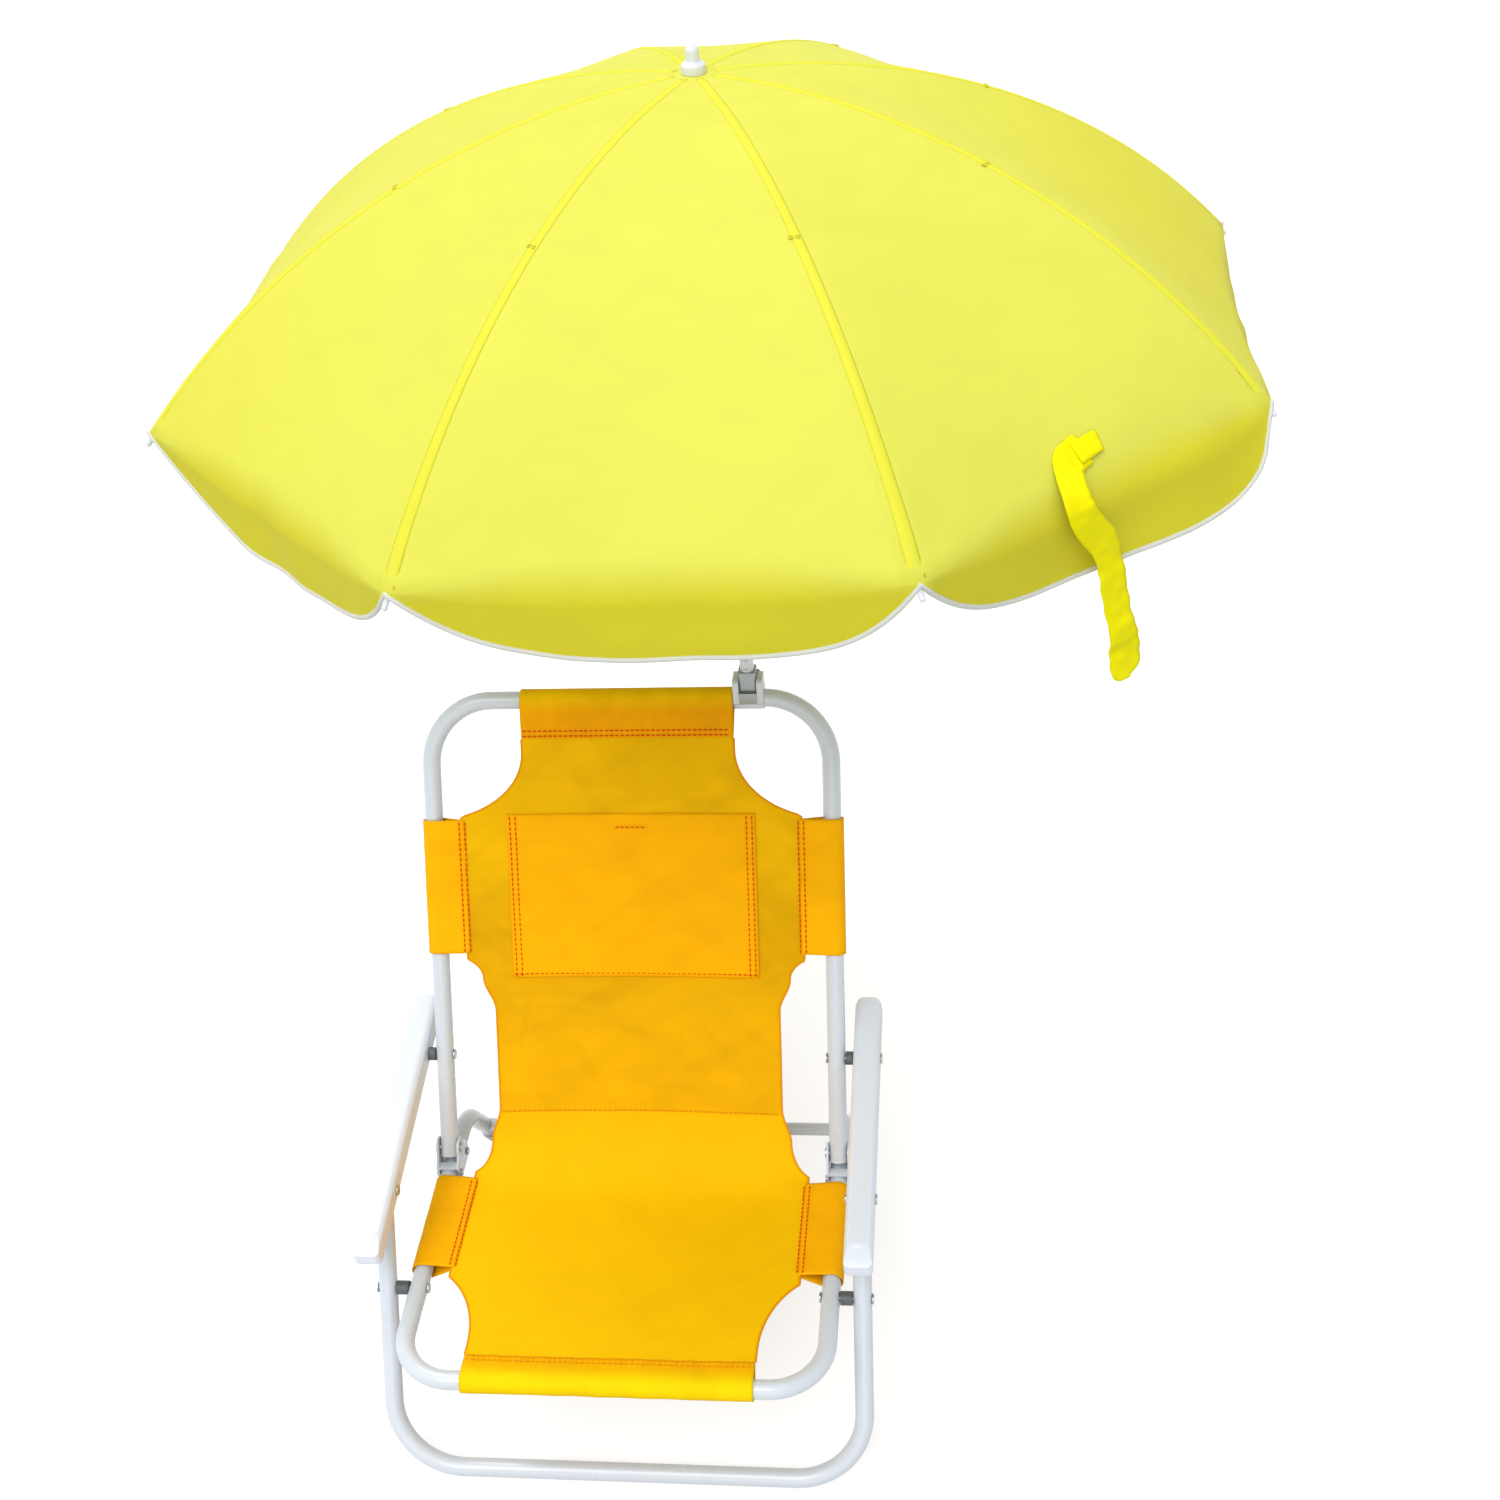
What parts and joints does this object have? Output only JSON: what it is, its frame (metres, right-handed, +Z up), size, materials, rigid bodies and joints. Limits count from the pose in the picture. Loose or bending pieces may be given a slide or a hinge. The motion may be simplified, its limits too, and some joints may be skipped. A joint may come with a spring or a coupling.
{
  "type": "umbrella chair",
  "caption": "Child-size low folding beach chair with a cloth sling seat, moulded armrests and a domed umbrella on a tilting pole clamped to its top bar.",
  "frame": {"origin": "on the floor, under the middle of the outer box", "axes": "+X to the sitter's left, +Y from the chair's front to its back, +Z up"},
  "size_m": [0.8014, 0.9292, 1.0286],
  "materials": {
    "frame_paint": "gloss white paint",
    "pole_paint": "gloss white paint",
    "armrest": "moulded, satin",
    "foot_rubber": "moulded",
    "spacer_nylon": "moulded",
    "rivet_steel": "plated",
    "seat_cloth": "coated weave",
    "back_cloth": "coated weave",
    "pocket_cloth": "coated weave",
    "clamp_nylon": "moulded",
    "socket_zinc": "cast",
    "knob_plastic": "moulded",
    "canopy_cloth": "thin coated weave",
    "rib_steel": "plated wire"
  },
  "bodies": {
    "seat_frame": {"seat_frame": "frame_paint", "rear_crossbar": "frame_paint", "rear_feet": "foot_rubber", "hinge_brackets": "frame_paint", "back_hinge_rivets": "rivet_steel", "leg_pivot_spacers": "spacer_nylon", "leg_pivot_rivets": "rivet_steel", "sling_seat": "seat_cloth", "sling_crease": "seat_cloth"},
    "back": {"back_frame": "frame_paint", "back_end_plugs": "spacer_nylon", "arm_spacers": "spacer_nylon", "arm_rear_rivets": "rivet_steel", "sling_back": "back_cloth", "back_pocket": "pocket_cloth"},
    "legs": {"leg_frame": "frame_paint", "arm_front_rivets": "rivet_steel", "arm_front_washers": "spacer_nylon"},
    "left_arm": {"left_armrest": "armrest"},
    "right_arm": {"right_armrest": "armrest"},
    "clamp": {"clamp_body": "clamp_nylon", "clamp_jaw": "clamp_nylon", "clamp_socket": "socket_zinc", "clamp_screw": "rivet_steel"},
    "knob": {"clamp_knob": "knob_plastic"},
    "pole_lower": {"pole_lower": "pole_paint", "height_collar": "clamp_nylon"},
    "collar_screw": {"collar_screw": "knob_plastic"},
    "pole_upper": {"pole_upper": "pole_paint", "crown": "clamp_nylon", "crown_wire": "rivet_steel", "pole_cap": "clamp_nylon", "canopy": "canopy_cloth", "tie_strap": "canopy_cloth"},
    "runner": {"runner": "clamp_nylon"},
    "rib_1": {"rib_1": "rib_steel", "rib_tip_1": "clamp_nylon"},
    "stretcher_1": {"stretcher_1": "rib_steel"},
    "rib_2": {"rib_2": "rib_steel", "rib_tip_2": "clamp_nylon"},
    "stretcher_2": {"stretcher_2": "rib_steel"},
    "rib_3": {"rib_3": "rib_steel", "rib_tip_3": "clamp_nylon"},
    "stretcher_3": {"stretcher_3": "rib_steel"},
    "rib_4": {"rib_4": "rib_steel", "rib_tip_4": "clamp_nylon"},
    "stretcher_4": {"stretcher_4": "rib_steel"},
    "rib_5": {"rib_5": "rib_steel", "rib_tip_5": "clamp_nylon"},
    "stretcher_5": {"stretcher_5": "rib_steel"},
    "rib_6": {"rib_6": "rib_steel", "rib_tip_6": "clamp_nylon"},
    "stretcher_6": {"stretcher_6": "rib_steel"},
    "rib_7": {"rib_7": "rib_steel", "rib_tip_7": "clamp_nylon"},
    "stretcher_7": {"stretcher_7": "rib_steel"},
    "rib_8": {"rib_8": "rib_steel", "rib_tip_8": "clamp_nylon"},
    "stretcher_8": {"stretcher_8": "rib_steel"}
  },
  "joints": [
    {"name": "back_fold", "type": "hinge", "parent": "seat_frame", "child": "back", "pos_m": [-0.108, -0.21806, 0.14312], "axis": [1, 0, 0], "range_deg": [0, 112], "deforming": ["sling_crease"]},
    {"name": "leg_fold", "type": "hinge", "parent": "seat_frame", "child": "legs", "pos_m": [-0.108, -0.36243, 0.1407], "axis": [1, 0, 0], "range_deg": [0, 112]},
    {"name": "left_arm_fold", "type": "hinge", "parent": "back", "child": "left_arm", "pos_m": [0.097, -0.16725, 0.21436], "axis": [1, 0, 0], "range_deg": [-112, 0]},
    {"name": "right_arm_fold", "type": "hinge", "parent": "back", "child": "right_arm", "pos_m": [-0.313, -0.16725, 0.21436], "axis": [1, 0, 0], "range_deg": [-112, 0]},
    {"name": "clamp_tilt", "type": "hinge", "parent": "back", "child": "clamp", "pos_m": [0, 0.02003, 0.47691], "axis": [1, 0, 0], "range_deg": [-40, 40]},
    {"name": "knob_turn", "type": "hinge", "parent": "clamp", "child": "knob", "pos_m": [0, 0.03819, 0.48042], "axis": [0, 0.1392, 0.9903], "continuous": true},
    {"name": "pole_turn", "type": "hinge", "parent": "clamp", "child": "pole_lower", "pos_m": [0, 0.0242, 0.50662], "axis": [0, 0.1392, 0.9903], "continuous": true},
    {"name": "pole_height", "type": "slide", "parent": "pole_lower", "child": "pole_upper", "axis": [0, 0.1392, 0.9903], "range_m": [0, 0.03]},
    {"name": "collar_screw_turn", "type": "hinge", "parent": "pole_lower", "child": "collar_screw", "pos_m": [0, 0.02866, 0.53831], "axis": [1, 0, 0], "continuous": true},
    {"name": "canopy_fold", "type": "hinge", "parent": "pole_upper", "child": "rib_1", "pos_m": [0.01109, 0.09875, 1.00406], "axis": [-0.3827, 0.9149, -0.1286], "range_deg": [0, 65], "deforming": ["canopy"]},
    {"name": "rib_2_fold", "type": "hinge", "parent": "pole_upper", "child": "rib_2", "pos_m": [0.00459, 0.10518, 1.00316], "axis": [-0.9239, 0.379, -0.0533], "range_deg": [0, 65]},
    {"name": "rib_3_fold", "type": "hinge", "parent": "pole_upper", "child": "rib_3", "pos_m": [-0.00459, 0.10518, 1.00316], "axis": [-0.9239, -0.379, 0.0533], "range_deg": [0, 65]},
    {"name": "rib_4_fold", "type": "hinge", "parent": "pole_upper", "child": "rib_4", "pos_m": [-0.01109, 0.09875, 1.00406], "axis": [-0.3827, -0.9149, 0.1286], "range_deg": [0, 65]},
    {"name": "rib_5_fold", "type": "hinge", "parent": "pole_upper", "child": "rib_5", "pos_m": [-0.01109, 0.08966, 1.00534], "axis": [0.3827, -0.9149, 0.1286], "range_deg": [0, 65]},
    {"name": "rib_6_fold", "type": "hinge", "parent": "pole_upper", "child": "rib_6", "pos_m": [-0.00459, 0.08323, 1.00624], "axis": [0.9239, -0.379, 0.0533], "range_deg": [0, 65]},
    {"name": "rib_7_fold", "type": "hinge", "parent": "pole_upper", "child": "rib_7", "pos_m": [0.00459, 0.08323, 1.00624], "axis": [0.9239, 0.379, -0.0533], "range_deg": [0, 65]},
    {"name": "rib_8_fold", "type": "hinge", "parent": "pole_upper", "child": "rib_8", "pos_m": [0.01109, 0.08966, 1.00534], "axis": [0.3827, 0.9149, -0.1286], "range_deg": [0, 65]},
    {"name": "stretcher_1_fold", "type": "hinge", "parent": "rib_1", "child": "stretcher_1", "pos_m": [0.1894, 0.166, 0.95189], "axis": [-0.3827, 0.9149, -0.1286], "range_deg": [-130, 0]},
    {"name": "stretcher_2_fold", "type": "hinge", "parent": "rib_2", "child": "stretcher_2", "pos_m": [0.07845, 0.27587, 0.93645], "axis": [-0.9239, 0.379, -0.0533], "range_deg": [-130, 0]},
    {"name": "stretcher_3_fold", "type": "hinge", "parent": "rib_3", "child": "stretcher_3", "pos_m": [-0.07845, 0.27587, 0.93645], "axis": [-0.9239, -0.379, 0.0533], "range_deg": [-130, 0]},
    {"name": "stretcher_4_fold", "type": "hinge", "parent": "rib_4", "child": "stretcher_4", "pos_m": [-0.1894, 0.166, 0.95189], "axis": [-0.3827, -0.9149, 0.1286], "range_deg": [-130, 0]},
    {"name": "stretcher_5_fold", "type": "hinge", "parent": "rib_5", "child": "stretcher_5", "pos_m": [-0.1894, 0.01063, 0.97373], "axis": [0.3827, -0.9149, 0.1286], "range_deg": [-130, 0]},
    {"name": "stretcher_6_fold", "type": "hinge", "parent": "rib_6", "child": "stretcher_6", "pos_m": [-0.07845, -0.09924, 0.98917], "axis": [0.9239, -0.379, 0.0533], "range_deg": [-130, 0]},
    {"name": "stretcher_7_fold", "type": "hinge", "parent": "rib_7", "child": "stretcher_7", "pos_m": [0.07845, -0.09924, 0.98917], "axis": [0.9239, 0.379, -0.0533], "range_deg": [-130, 0]},
    {"name": "stretcher_8_fold", "type": "hinge", "parent": "rib_8", "child": "stretcher_8", "pos_m": [0.1894, 0.01063, 0.97373], "axis": [0.3827, 0.9149, -0.1286], "range_deg": [-130, 0]},
    {"name": "runner_slide", "type": "slide", "parent": "pole_upper", "child": "runner", "axis": [0, -0.1392, -0.9903], "range_m": [0, 0.301]}
  ],
  "couplings": [
    {"joint": "leg_fold", "follows": "back_fold", "ratio": 1},
    {"joint": "left_arm_fold", "follows": "back_fold", "ratio": -1},
    {"joint": "right_arm_fold", "follows": "back_fold", "ratio": -1},
    {"joint": "rib_2_fold", "follows": "canopy_fold", "ratio": 1},
    {"joint": "rib_3_fold", "follows": "canopy_fold", "ratio": 1},
    {"joint": "rib_4_fold", "follows": "canopy_fold", "ratio": 1},
    {"joint": "rib_5_fold", "follows": "canopy_fold", "ratio": 1},
    {"joint": "rib_6_fold", "follows": "canopy_fold", "ratio": 1},
    {"joint": "rib_7_fold", "follows": "canopy_fold", "ratio": 1},
    {"joint": "rib_8_fold", "follows": "canopy_fold", "ratio": 1},
    {"joint": "stretcher_1_fold", "follows": "canopy_fold", "ratio": -2},
    {"joint": "stretcher_2_fold", "follows": "canopy_fold", "ratio": -2},
    {"joint": "stretcher_3_fold", "follows": "canopy_fold", "ratio": -2},
    {"joint": "stretcher_4_fold", "follows": "canopy_fold", "ratio": -2},
    {"joint": "stretcher_5_fold", "follows": "canopy_fold", "ratio": -2},
    {"joint": "stretcher_6_fold", "follows": "canopy_fold", "ratio": -2},
    {"joint": "stretcher_7_fold", "follows": "canopy_fold", "ratio": -2},
    {"joint": "stretcher_8_fold", "follows": "canopy_fold", "ratio": -2},
    {"joint": "runner_slide", "follows": "canopy_fold", "m_per_rad": 0.26531}
  ]
}
